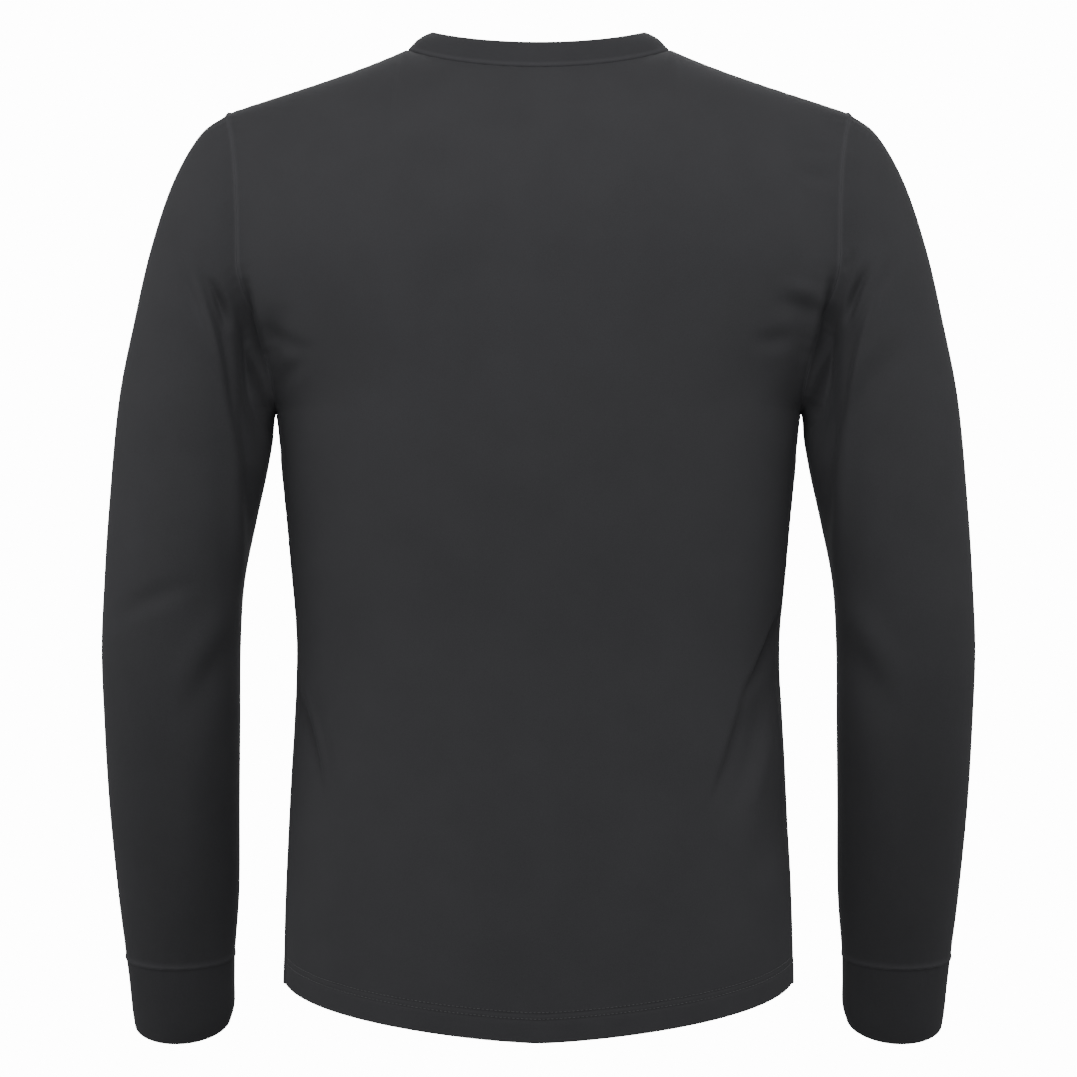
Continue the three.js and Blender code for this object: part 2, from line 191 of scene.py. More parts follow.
torsoRows = (
    (-669.5, 184, 112, 121, 20),
    (-610, 182.7, 109, 121, 20),
    (-545, 179.9, 105, 119, 20),
    (-480, 176.6, 101, 117, 20),
    (-424, 174.9, 100, 117, 19),
    (-365, 179.4, 104, 121, 16),
    (-310, 184, 109, 126, 11),
    (-260, 188.77, 112, 128, 6),
)
ringColumns = ("innerX", "innerZ", "outerX", "outerZ", "depth", "y", "drop")
sleeveRows = (
    (188.5, -260, 223.5, -45.7, 56, 0, 0),
    (189.5, -264, 243.5, -60.8, 58, 0, 0),
    (190, -268, 263, -95, 59, 0, 0),
    (190.4, -274, 279, -143, 59, 0, 0),
    (191.6, -284, 290.7, -194, 58, 0, 0),
    (195.8, -307, 302, -253, 56, 1, 0),
    (203, -340, 309.2, -333, 53, 2, 0),
    (211.3, -383, 312.2, -383, 50, 3, 0),
    (214.2, -430, 314.3, -430, 47.5, 1, 1),
    (215, -481, 313.2, -481, 45, -6, 3),
    (216.4, -541, 311, -541, 41.5, -19, 5),
    (218, -607, 306.5, -607, 37, -37, 6),
    (222.5, -655.5, 301.8, -657, 32, -52, 7),
)
cuffRows = (
    sleeveRows[-1],
    (223, -676, 300, -677.5, 30.5, -58, 10),
    (223.4, -693, 298.6, -696, 29, -63, 12.5),
    (226.8, -705, 297, -708, 26.5, -66, 14),
)


def sideName(side):
    return "back" if side > 0 else "front"


# Armhole seam by its angle (0 underarm, 90 back, 180 shoulder, 270 front): height and middle follow
# the cosine, depth the sine, and x is drawn to its lower end by a smooth ramp of the lower share and
# to the shoulder by a high power of the upper one
def armholePoint(angle):
    cosine, sine = np.cos(np.radians(angle)), np.sin(np.radians(angle))
    scyeX = np.where(sine >= 0, armhole["back"]["scyeX"], armhole["front"]["scyeX"])
    depth = np.where(sine >= 0, armhole["back"]["depth"], armhole["front"]["depth"])
    under, top = (1 + cosine) / 2, (1 - cosine) / 2
    x = scyeX + (armhole["x"] - scyeX) * ramp(under, armhole["underFrom"], armhole["underTo"])
    x = x + (shoulder["x"] - scyeX) * top ** armhole["topPower"]
    return place3(x, armhole["y"] * under + depth * sine, armhole["z"] * under + shoulder["z"] * top)


# Top edge of a panel: a quarter of an ellipse each way for the neckline, then the straight shoulder
# seam with a slight sag towards the neck, t (1 - t)^2 shaped
def topEdge(side, u):
    across = np.abs(u)
    shape = neck[sideName(side)]
    angle = np.pi / 2 * np.clip(across / neck["share"], 0, 1)
    cosine = np.clip(np.cos(angle), 0, 1)
    neckline = place3(
        np.sign(u) * neck["halfWidth"] * np.sin(angle),
        side * shape["depth"] * cosine,
        -shape["drop"] * cosine ** shape["power"],
    )
    t = np.clip((across - neck["share"]) / (1 - neck["share"]), 0, 1)
    seamZ = shoulder["z"] * (t + shoulder["sag"] * t * (1 - t) ** 2)
    seam = place3(np.sign(u) * mix(neck["halfWidth"], shoulder["x"], t), 0 * t, seamZ)
    return np.where((across <= neck["share"])[..., None], neckline, seam)


# Arc across a panel: x follows the sine of the turned angle and y its cosine, from centre to edge
def arcAcross(edge, centreY, turn, u):
    angle = np.radians(turn)
    share = (np.cos(angle * u) - np.cos(angle)) / (1 - np.cos(angle))
    x = edge[..., 0] * np.sin(angle * u) / np.sin(angle)
    return place3(x, mix(edge[..., 1], centreY, share), edge[..., 2])


# How far a panel's arc turns from its middle to a seam: cosine of the turn = seam's y / arc's depth
def seamTurn(side, seamY, depth):
    return 90 - side * np.degrees(np.arcsin(seamY / depth))


# Below the armhole: arcs through the torso sections, the hem's tail fading upwards and sideways
def lowerTorso(side, u, t):
    z = mix(hem["z"], armhole["z"], t)
    row = rowAt(torsoColumns, torsoRows, [r[0] for r in torsoRows], z)
    depth = row[sideName(side)]
    edge = place3(row["half"] * np.sqrt(1 - (row["seam"] / row["back"]) ** 2), row["seam"], z)
    place = arcAcross(edge, side * depth, seamTurn(side, row["seam"], depth), u)
    place[..., 2] -= hem[sideName(side)] * (1 - t) * (1 - np.abs(u) ** hem["power"])
    return place


# A miss at the edge spread into the panel as the fifth power of the way across, on both sides
def pullToEdge(place, miss, u):
    pulled = miss * (np.abs(u) ** armhole["pull"])[..., None]
    pulled[..., 0] *= np.sign(u)
    return place + pulled


# Half width and depth of the ellipse at a share of the way from the armpit to mid armhole: each
# leaves the armpit at the torso's own slope and arrives level (cubic Hermite)
def chestSizes(side, share):
    name = sideName(side)
    below, armpit = (dict(zip(torsoColumns, row)) for row in torsoRows[-2:])
    widest = armholePoint(side * 90.0)
    climb = (widest[2] - armhole["z"]) / (armpit["at"] - below["at"])
    topHalf = widest[0] / np.sqrt(1 - (widest[1] / scye[name]) ** 2)
    sizes = []
    for key, top in (("half", topHalf), (name, scye[name])):
        slope = (armpit[key] - below[key]) * climb
        sizes.append(mix(armpit[key], top, ramp(share)) + slope * share * (1 - share) ** 2)
    return sizes


# Beside the lower armhole: ellipses cut off at the armhole seam, whose ends flare out to it as a high
# power of the way across; towards the middle the rows rise more evenly than the seam does
def chest(side, u, t):
    seam, widest = armholePoint(side * 90 * t), armholePoint(side * 90.0)
    seamShare = (seam[..., 2] - armhole["z"]) / (widest[2] - armhole["z"])
    half, depth = chestSizes(side, seamShare)
    turn = seamTurn(side, seam[..., 1], depth)
    miss = seam[..., 0] - half * np.sin(np.radians(turn))
    share = mix((t + seamShare) / 2, seamShare, np.abs(u) ** 4)
    half, depth = chestSizes(side, share)
    angle = np.radians(turn * u)
    x = half * np.sin(angle) + np.sign(u) * miss * np.abs(u) ** armhole["flare"]
    return place3(x, side * depth * np.cos(angle), mix(armhole["z"], widest[2], share))


# Above it: each column rolls from the chest to the neckline or shoulder along part of an ellipse
def yoke(side, u, t):
    low, top = chest(side, u, np.ones_like(t)), topEdge(side, u)
    bend = np.radians(mix(neck[sideName(side)]["bend"], shoulder["bend"], ramp(np.abs(u) / neck["share"])))
    out = (np.cos(bend * t) - np.cos(bend)) / (1 - np.cos(bend))
    up = np.sin(bend * t) / np.sin(bend)
    return place3(
        mix(top[..., 0], low[..., 0], out),
        mix(top[..., 1], low[..., 1], out),
        mix(low[..., 2], top[..., 2], up),
    )


# The back (side 1) or front (-1): u from -1 to 1 across, v 0 hem, 1 underarm, 2 mid armhole, 3 top
def torsoPoint(side, u, v):
    u, v = np.broadcast_arrays(np.asarray(u, float), np.asarray(v, float))
    t = np.clip(v - 2, 0, 1)
    miss = armholePoint(side * (90 + 90 * t)) - yoke(side, np.ones_like(u), t)
    upper = pullToEdge(yoke(side, u, t), miss, u)
    middle = chest(side, u, np.clip(v - 1, 0, 1))
    lower = lowerTorso(side, u, np.clip(v, 0, 1))
    return np.where((v <= 1)[..., None], lower, np.where((v <= 2)[..., None], middle, upper))


# A ring of a sleeve or cuff: x and z swing between its inner and outer points, y follows the sine
def ringPoint(rows, angle, s):
    row = rowAt(ringColumns, rows, range(len(rows)), s)
    cosine, sine = np.cos(np.radians(angle)), np.sin(np.radians(angle))
    x = mix(row["innerX"], row["outerX"], (1 - cosine) / 2)
    z = mix(row["innerZ"], row["outerZ"], (1 - cosine) / 2) - row["drop"] * sine
    return place3(x, row["y"] + row["depth"] * sine, z)


# A sleeve point: its ring, plus the armhole's own curve, which fades over the first four sections
def sleevePoint(angle, s):
    angle, s = np.broadcast_arrays(np.asarray(angle, float), np.asarray(s, float))
    miss = armholePoint(angle) - ringPoint(sleeveRows, angle, 0 * s)
    return ringPoint(sleeveRows, angle, s) + miss * ramp(1 - s / 4)[..., None]


def cuffPoint(angle, s):
    angle, s = np.broadcast_arrays(np.asarray(angle, float), np.asarray(s, float))
    return ringPoint(cuffRows, angle, s)


# Neckline seam as a loop: k runs from 0 to 4, from the right shoulder round the back
def neckLoop(k):
    k = np.asarray(k, float) % 4
    behind, before = topEdge(1, neck["share"] * (k - 1)), topEdge(-1, neck["share"] * (3 - k))
    return np.where((k <= 2)[..., None], behind, before)


# The band stands on the seam, square to it, leans inwards, and rolls out a little at mid width
def bandPoint(k, w):
    k, w = np.broadcast_arrays(np.asarray(k, float), np.asarray(w, float))
    seam, step = neckLoop(k), 0.01
    along = unit(neckLoop(k + step) - neckLoop(k - step))
    isBack = k % 4 <= 2
    depth = np.where(isBack, neck["back"]["depth"], neck["front"]["depth"])
    outward = unit(place3(seam[..., 0] / neck["halfWidth"] ** 2, seam[..., 1] / depth ** 2, 0 * depth))
    middleLean = np.where(isBack, neck["back"]["lean"], neck["front"]["lean"])
    lean = np.radians(mix(neck["sideLean"], middleLean, np.abs(seam[..., 1]) / depth))[..., None]
    up = np.array([0.0, 0.0, 1.0]) * np.cos(lean) - outward * np.sin(lean)
    up = unit(up - along * dot(up, along))
    proud = unit(np.cross(along, up))
    proud = proud * np.sign(dot(proud, outward))
    rise, roll = neck["bandWidth"] * w, neck["bandRoll"] * np.sin(np.pi * w)
    return seam + up * rise[..., None] + proud * roll[..., None]


# Folds as seen from behind (side 1) or in front (-1): from x, z to x, z, how far the middle bows,
# the trough's depth (a ridge below 0), half its width, and its lean: above 0, the wall towards +X of
# a fold drawn downwards is the steeper one
# Columns: side, x, z, toX, toZ, bow, depth, half, lean
folds = (
    (1, -177, -395, -124, -560, 10, 5.5, 20, 0.0),
    (1, -182, -505, -160, -600, 6, 3.5, 16, 0.0),
    (1, 184, -448, 150, -560, 6, 3.0, 16, 0.0),
    (1, 214, -160, 187, -302, 0, 13.0, 12, -0.35),
    (1, -214, -160, -187, -302, 0, 13.0, 12, 0.35),
    (1, 262, -190, 205, -300, 8, 3.5, 14, 0.0),
    (1, -262, -205, -205, -310, -8, 3.5, 14, 0.0),
    (1, 180, -185, 186, -262, -8, 3.5, 15, 0.0),
    (1, -180, -175, -186, -250, 8, 3.0, 15, 0.0),
    (-1, 168, -165, 188, -262, -10, 4.5, 15, 0.0),
    (-1, -172, -160, -188, -258, 10, 4.5, 15, 0.0),
    (-1, 232, -150, 206, -268, 8, 5.0, 13, 0.0),
    (-1, -232, -158, -206, -272, -8, 5.0, 13, 0.0),
    (-1, 178, -400, 120, -520, -9, 4.5, 20, 0.0),
    (-1, -180, -410, -128, -500, 8, 4.0, 18, 0.0),
    (-1, 222, -425, 290, -395, 4, 4.0, 11, 0.0),
    (-1, -224, -440, -292, -408, -4, 4.0, 11, 0.0),
    (-1, 224, -470, 286, -452, 3, 3.0, 10, 0.0),
    (-1, -222, -478, -288, -462, -3, 3.0, 10, 0.0),
)
creases = (
    (1, 233, -166, 218, -206, 1, 5.0, 5.0, 0.3),
    (1, 239, -158, 218, -236, 1, 3.2, 5.0, 0.3),
    (1, 252, -146, 222, -243, 4, -2.4, 6.0, 0.0),
    (1, 259, -154, 240, -200, 2, 1.2, 6.0, 0.0),
    (1, 207, -165, 190, -284, -2, 6.0, 6.5, -0.3),
    (1, 227, -176, 206, -300, 0, 5.0, 9.0, 0.35),
    (1, 206, -225, 204, -380, 0, 3.0, 10.0, 0.3),
    (1, 217, -262, 211, -420, 0, -1.6, 8.0, 0.0),
    (1, -234, -158, -216, -202, -1, 5.4, 4.8, -0.3),
    (1, -224, -148, -215, -163, 0, 1.5, 4.0, 0.0),
    (1, -248, -148, -220, -238, -5, -2.4, 6.0, 0.0),
    (1, -238, -164, -217, -240, -1, 3.4, 5.0, -0.3),
    (1, -254, -146, -231, -200, -2, 1.4, 7.0, 0.0),
    (1, -207, -160, -190, -282, 2, 6.0, 6.5, 0.3),
    (1, -226, -180, -206, -298, 0, 5.0, 9.0, -0.35),
    (1, -206, -222, -204, -376, 0, 3.0, 10.0, -0.3),
    (1, -217, -258, -211, -416, 0, -1.6, 8.0, 0.0),
    (1, -216, -197, -160, -186, -2, 1.7, 9.0, 0.2),
    (1, -206, -180, -166, -172, 0, -1.0, 7.0, 0.0),
    (1, -186, -206, -146, -214, 2, 1.6, 9.0, 0.0),
    (1, -214, -74, -184, -76, 1, 1.1, 6.0, 0.0),
    (1, -214, -97, -180, -92, 1, 1.5, 6.0, 0.0),
    (1, 200, -200, 154, -221, -3, 1.8, 8.0, 0.0),
    (1, 190, -250, 160, -222, 2, 1.5, 8.0, 0.0),
    (1, 172, -447, 150, -536, 4, -1.8, 4.0, 0.0),
    (1, 176, -452, 156, -532, 2, 1.8, 5.0, 0.0),
    (1, -174, -400, -142, -466, 3, 5.0, 6.0, 0.55),
    (1, -150, -448, -121, -540, 2, 4.0, 7.0, 0.45),
    (1, -171, -450, -146, -548, 4, -3.4, 9.0, 0.0),
    (1, -168, -508, -152, -596, 2, 2.2, 12.0, 0.0),
    (1, 306, -412, 238, -380, 3, 1.7, 9.0, 0.0),
    (1, 209, -412, 256, -486, 0, 2.0, 14.0, 0.2),
    (1, 214, -390, 262, -462, 0, -1.6, 12.0, 0.0),
    (1, 242, -440, 248, -660, 0, -2.4, 20.0, 0.0),
    (1, -209, -410, -254, -482, 0, 2.2, 14.0, -0.2),
    (1, -214, -388, -262, -458, 0, -1.6, 12.0, 0.0),
    (1, -242, -440, -248, -660, 0, -2.4, 20.0, 0.0),
    (-1, 233, -162, 217, -208, 1, 4.0, 5.0, 0.3),
    (-1, 244, -150, 214, -252, 2, 3.2, 6.0, 0.4),
    (-1, 208, -168, 190, -282, -2, 5.0, 6.0, -0.4),
    (-1, -236, -168, -218, -214, -1, 4.2, 5.0, -0.3),
    (-1, -247, -146, -214, -246, -3, 3.0, 6.0, -0.4),
    (-1, -206, -160, -190, -278, 2, 5.0, 6.0, 0.4),
    (-1, 200, -184, 146, -208, -3, 1.9, 8.0, 0.0),
    (-1, 190, -236, 152, -226, 2, 1.4, 8.0, 0.0),
    (-1, -202, -196, -150, -216, 3, 2.0, 8.0, 0.0),
    (-1, 174, -436, 128, -512, 4, 3.4, 8.0, 0.3),
    (-1, 168, -500, 140, -572, 2, 2.2, 8.0, 0.0),
    (-1, -176, -452, -138, -530, -4, 3.0, 8.0, -0.3),
    (-1, 232, -444, 292, -486, -2, 2.0, 10.0, 0.0),
    (-1, -228, -432, -290, -470, 2, 2.2, 10.0, 0.0),
    (-1, 96, -196, 30, -262, 8, 1.6, 16.0, 0.0),
    (-1, -88, -216, -34, -286, -7, 1.4, 16.0, 0.0),
)


# How far folds move the cloth out: along each, t runs from 0 to 1; across it the trough is
# -(1 - 0.9 r) e^-r, r the square of distance over half width; it fades at both ends as sin(pi t)^1.2
# and where the cloth turns away from the side that the fold was drawn on
def foldRelief(place, facing, table):
    relief = np.zeros(place.shape[:-1])
    for side, x, z, toX, toZ, bow, depth, half, lean in table:
        length = np.hypot(toX - x, toZ - z)
        wayX, wayZ = (toX - x) / length, (toZ - z) / length
        fromX, fromZ = place[..., 0] - x, place[..., 2] - z
        t = np.clip((fromX * wayX + fromZ * wayZ) / length, 0, 1)
        across = fromX * wayZ - fromZ * wayX - bow * 4 * t * (1 - t)
        r = (across / (half * (1 + lean * np.sign(across)))) ** 2
        faces = ramp(facing[..., 1] * side, -0.1, 0.45)
        relief -= depth * (1 - 0.9 * r) * np.exp(-r) * np.sin(np.pi * t) ** 1.2 * faces
    return relief


# Seams: how high the turned cloth inside lifts the edges, how far from the seam the ridge is highest,
# its width on the two sides of that, and how sharp the groove between the edges is
seams = {
    "armhole": {"lift": 0.95, "at": 0.0, "width": 3.4},
    "side": {"lift": 0.4, "at": 0.0, "width": 2.8},
    "shoulder": {"lift": 0.5, "at": 0.0, "width": 3.2},
    "neck": {"lift": 0.45, "at": 1.8, "width": 2.6},
    "cuff": {"lift": 0.8, "at": 0.0, "width": 1.8},
    "sleeveEnd": {"lift": 0.8, "at": 0.0, "width": 4.6},
    "groove": 0.3,
}
# Puckers beside a seam: height, length, reach away from the seam, and how their length and height vary
pucker = {"lift": 0.28, "length": 11.0, "reach": 13.0}
pucker.update({"wander": 1.4, "wanderTurns": 3.7, "wanderStart": 0.6, "swell": 0.4, "swellTurns": 5.3})
# Hem: heights of its two rows of stitches, how deep and wide they pull in and how that varies, the
# swell of the turned-up cloth and the heights between which it ends, and the ripple along the hem
turnUp = {"rows": (15.6, 19.8), "pull": 0.26, "half": 0.8, "pullVaries": 0.35, "pullLength": 4.1}
turnUp.update({"swell": 0.25, "swellFrom": 13, "swellTo": 24})
turnUp.update({"ripple": 0.25, "rippleLength": 7.3, "rippleMiddle": 17.0, "rippleReach": 13.0})
turnUp.update({"wander": 1.7, "wanderLength": 31.0})

# Distances from an edge, in millimetres, where a grid gets its own rows so that the edge is round
edgeSteps = (0.0, 0.12, 0.35, 0.7, 1.2, 1.9, 2.7, 3.5, 4.3, 5.2, 6.6, 8.6)
cuffEndSteps = (2.2, 1.3, 0.7, 0.35, 0.12, 0.0)
bandEndSteps = (2.2, 1.4, 0.8, 0.4, 0.12, 0.0)
hemSteps = (0.0, 0.12, 0.35, 0.7, 1.3, 2.2, 3.6, 5.2, 7.0, 9.0, 11.0, 12.8, 14.0, 14.8, 15.6, 16.4)
hemSteps += (17.1, 17.7, 18.3, 19.0, 19.8, 20.6, 21.4, 22.6, 24.5, 27.0, 30.0)
# The same for a sleeve, in sections from its armhole and before its cuff seam
capSteps = (0, 0.006, 0.015, 0.03, 0.05, 0.075, 0.105, 0.14, 0.18, 0.23)
wristSteps = (0.12, 0.09, 0.055, 0.028, 0.01, 0.0)

# Rough sizes that turn those distances into shares, how many rows and columns lie between the edges,
# and how thick each wall is
cut = {"panelWidth": 480.0, "sideHeight": 410.5, "yokeHeight": 165.0, "cuffTop": 20.0, "cuffEnd": 12.0}
cut.update({"neckSteps": 30, "shoulderSteps": 58, "sideRows": 84, "underarmRows": 60, "yokeRows": 36})
cut.update({"capRows": 74, "armRows": 76, "cuffRows": 26, "bandRows": 14})
cut.update({"bodyWall": 1.6, "cuffWall": 2.0, "bandWall": 2.4})


# Ridge over a seam's turned cloth, 1 along its top and falling to 0 as a squared cosine
def seamRidge(away, seam):
    return np.cos(np.pi / 2 * np.clip((away - seam["at"]) / seam["width"], -1, 1)) ** 2


# Puckers along a seam: a sine wave whose phase and height follow slower sine waves, fading away from
# the seam as e to the minus square of distance over reach
def puckers(along, away, shift=0.0):
    turn = 2 * np.pi * along / pucker["length"] + shift
    phase = turn + pucker["wander"] * np.sin(turn / pucker["wanderTurns"] + pucker["wanderStart"])
    swell = 1 - pucker["swell"] + pucker["swell"] * np.sin(turn / pucker["swellTurns"] + shift)
    return pucker["lift"] * np.sin(phase) * swell * np.exp(-((away / pucker["reach"]) ** 2))


# Length along each row (axis 1) or column (axis 0) of a grid, from its start
def runLength(place, axis):
    step = np.linalg.norm(np.diff(place, axis=axis), axis=-1)
    start = np.zeros_like(step.take([0], axis=axis))
    return np.concatenate([start, np.cumsum(step, axis=axis)], axis=axis)


# Which way each grid point faces: across-way times up-way, by central differences; a tube wraps
def gridFacing(place, closed, outward):
    if closed:
        inner = place[:, :-1]
        across = np.roll(inner, -1, axis=1) - np.roll(inner, 1, axis=1)
        across = np.concatenate([across, across[:, :1]], axis=1)
    else:
        across = np.gradient(place, axis=1)
    return unit(np.cross(across, np.gradient(place, axis=0))) * outward


# Cloth at an edge is round: both faces come in by the radius less the rest of a quarter circle
def edgeRound(away, wall):
    radius = wall / 2
    rest = np.clip(radius - away, 0, radius * 0.92)
    return radius - np.sqrt(radius ** 2 - rest ** 2)


# A free edge is fully round; two edges sewn together leave only a shallow groove
def edgeShrink(awayFree, awaySewn, wall):
    return np.maximum(edgeRound(awayFree, wall), seams["groove"] * edgeRound(awaySewn, wall))


# A wall of cloth as one closed mesh: outer face, inner face and the strips between their edges.
# Its UV map is the cloth's own length across and up, in metres; the seam-ridge mask is 1 on top of seam
# ridges, where the jersey's colour gets a painted highlight: paler for the sheen that the ridges catch
def clothMesh(name, place, facing, relief, ridgeHighlight, wall, shrink, closed, material):
    outer = place + facing * (relief - shrink)[..., None]
    inner = place + facing * (relief - wall + shrink)[..., None]
    rows, columns = place.shape[0] - 1, place.shape[1] - 1
    stride = columns if closed else columns + 1
    count = (rows + 1) * stride
    j, i = np.meshgrid(np.arange(rows), np.arange(columns), indexing="ij")
    nextI = (i + 1) % stride
    a, b, c, d = j * stride + i, j * stride + nextI, (j + 1) * stride + nextI, (j + 1) * stride + i
    quads = [np.stack([a, b, c, d], -1).reshape(-1, 4)]
    quads.append(np.stack([d, c, b, a], -1).reshape(-1, 4) + count)
    low, lowNext, high, highNext = a[0], b[0], d[-1], c[-1]
    quads.append(np.stack([lowNext, low, low + count, lowNext + count], -1))
    quads.append(np.stack([high, highNext, highNext + count, high + count], -1))
    if not closed:
        start, startUp, end, endUp = a[:, 0], d[:, 0], b[:, -1], c[:, -1]
        quads.append(np.stack([start, startUp, startUp + count, start + count], -1))
        quads.append(np.stack([endUp, end, end + count, endUp + count], -1))
    faces = np.concatenate(quads)
    corner = np.cross(outer[1, 1] - outer[0, 0], outer[1, 0] - outer[0, 1])
    if np.dot(corner, facing[0, 0]) < 0:
        faces = faces[:, ::-1]
    shown = slice(0, stride)
    points = np.concatenate([outer[:, shown].reshape(-1, 3), inner[:, shown].reshape(-1, 3)]) * metre
    mesh = bpy.data.meshes.new(name)
    mesh.from_pydata(points.tolist(), [], faces.tolist())
    mesh.polygons.foreach_set("use_smooth", np.ones(len(faces), bool))
    across, up = runLength(place, 1) * metre, runLength(place, 0) * metre
    grid = np.stack([across - across[:, columns // 2:columns // 2 + 1], up], -1)
    flat = np.concatenate([grid[:, shown].reshape(-1, 2)] * 2)
    corners = flat[faces.reshape(-1)].reshape(-1, 4, 2)
    if closed:
        wide = grid[:, -1].mean(axis=0)[0] - grid[:, 0].mean(axis=0)[0]
        tear = corners[..., 0].max(axis=1) - corners[..., 0].min(axis=1) > wide / 2
        onStart = corners[..., 0] < corners[..., 0].mean(axis=1, keepdims=True)
        corners[..., 0] += wide * (onStart & tear[:, None])
    layer = mesh.uv_layers.new(name="cloth")
    layer.data.foreach_set("uv", corners.reshape(-1))
    # Seam-ridge mask for the painted highlight, stored on the points
    highlightLayer = mesh.attributes.new("ridgeHighlight", "FLOAT", "POINT")
    everywhere = np.broadcast_to(ridgeHighlight, place.shape[:-1])[:, shown].reshape(-1)
    highlightLayer.data.foreach_set("value", np.tile(everywhere, 2))
    mesh.materials.append(material)
    mesh.update()
    piece = bpy.data.objects.new(name, mesh)
    bpy.context.scene.collection.objects.link(piece)
    return piece, outer


# Jersey: colour and how far it varies, shine, how fine its fibres and patches are, and how wide, tall
# and high one knitted loop is, in metres
jersey = {
    "color": (0.036, 0.036, 0.039),
    "light": 1.18,
    "dark": 0.84,
    "roughness": 0.86,
    "sheen": 0.07,
    "sheenRoughness": 0.45,
    "sheenTint": (0.55, 0.56, 0.6, 1.0),
    "specular": 0.25,
    # how much paler the colour is painted on top of seam ridges: a painted highlight for the sheen they
    # catch
    "ridgeHighlightGain": 0.3,
    "fibreScale": 1900.0,
    "fibreShare": 0.75,
    "patchScale": 26.0,
    "bumpStrength": 0.55,
    "loopWidth": 0.00078,
    "loopHeight": 0.00062,
    "loopLift": 0.00012,
}
doubleJersey = {**jersey, "color": (0.033, 0.033, 0.036), "loopWidth": 0.00072, "loopHeight": 0.0006}
thread = {"color": (0.05, 0.05, 0.054), "roughness": 0.6, "sheen": 0.3}


# A node with some of its inputs set
def addNode(tree, kind, inputs=(), **values):
    node = tree.nodes.new(kind)
    for key, value in values.items():
        setattr(node, key, value)
    for key, value in dict(inputs).items():
        if isinstance(value, bpy.types.NodeSocket):
            tree.links.new(value, node.inputs[key])
        else:
            node.inputs[key].default_value = value
    return node


def mathOf(tree, operation, first, second=0.0, third=0.0):
    inputs = {0: first, 1: second, 2: third}
    return addNode(tree, "ShaderNodeMath", inputs, operation=operation).outputs[0]


# Knitted loops from the UV map: each wale is a rounded rib, and along it the legs of the loops lie
# as chevrons, a cosine whose phase runs ahead with the distance from the wale's middle
def knitHeight(tree, cloth):
    uv = addNode(tree, "ShaderNodeUVMap", uv_map="cloth").outputs["UV"]
    split = addNode(tree, "ShaderNodeSeparateXYZ", {0: uv})
    wale = mathOf(tree, "FRACT", mathOf(tree, "DIVIDE", split.outputs[0], cloth["loopWidth"]))
    aside = mathOf(tree, "ABSOLUTE", mathOf(tree, "MULTIPLY_ADD", wale, 2.0, -1.0))
    course = mathOf(tree, "DIVIDE", split.outputs[1], cloth["loopHeight"])
    phase = mathOf(tree, "MULTIPLY_ADD", aside, 0.45, course)
    wave = mathOf(tree, "COSINE", mathOf(tree, "MULTIPLY", phase, 2 * np.pi))
    leg = mathOf(tree, "MULTIPLY_ADD", wave, 0.25, 0.75)
    rib = mathOf(tree, "SUBTRACT", 1.0, mathOf(tree, "MULTIPLY", aside, aside))
    return mathOf(tree, "MULTIPLY", rib, leg)


def makeJersey(name, cloth):
    material = bpy.data.materials.new(name)
    material.use_nodes = True
    tree = material.node_tree
    shader = tree.nodes["Principled BSDF"]
    place = addNode(tree, "ShaderNodeTexCoord").outputs["Object"]
    knit = knitHeight(tree, cloth)
    fine = {"Vector": place, "Scale": cloth["fibreScale"], "Detail": 3.0}
    broad = {"Vector": place, "Scale": cloth["patchScale"], "Detail": 4.0}
    fibre, patch = (addNode(tree, "ShaderNodeTexNoise", noise) for noise in (fine, broad))
    tone = mathOf(tree, "MULTIPLY_ADD", fibre.outputs["Fac"], cloth["fibreShare"], 0.0)
    tone = mathOf(tree, "MULTIPLY_ADD", patch.outputs["Fac"], 1 - cloth["fibreShare"], tone)
    shades = addNode(tree, "ShaderNodeValToRGB", {"Fac": tone})
    ends = shades.color_ramp.elements
    ends[0].position, ends[1].position = 0.3, 0.7
    ends[0].color = [c * cloth["dark"] for c in cloth["color"]] + [1.0]
    ends[1].color = [c * cloth["light"] for c in cloth["color"]] + [1.0]
    # Painted highlight: the colour is painted paler on top of seam ridges, for the sheen they catch
    ridgeHighlight = addNode(tree, "ShaderNodeAttribute", attribute_name="ridgeHighlight").outputs["Fac"]
    gain = mathOf(tree, "MULTIPLY_ADD", ridgeHighlight, cloth["ridgeHighlightGain"], 1.0)
    gained = {0: shades.outputs["Color"], "Scale": gain}
    paler = addNode(tree, "ShaderNodeVectorMath", gained, operation="SCALE")
    tree.links.new(paler.outputs["Vector"], shader.inputs["Base Color"])
    rough = mathOf(tree, "MULTIPLY_ADD", fibre.outputs["Fac"], 0.12, cloth["roughness"] - 0.06)
    tree.links.new(rough, shader.inputs["Roughness"])
    height = mathOf(tree, "MULTIPLY_ADD", fibre.outputs["Fac"], 0.5, knit)
    bump = {"Height": height, "Strength": cloth["bumpStrength"], "Distance": cloth["loopLift"]}
    tree.links.new(addNode(tree, "ShaderNodeBump", bump).outputs["Normal"], shader.inputs["Normal"])
    shader.inputs["Specular IOR Level"].default_value = cloth["specular"]
    shader.inputs["Sheen Weight"].default_value = cloth["sheen"]
    shader.inputs["Sheen Roughness"].default_value = cloth["sheenRoughness"]
    shader.inputs["Sheen Tint"].default_value = cloth["sheenTint"]
    return material


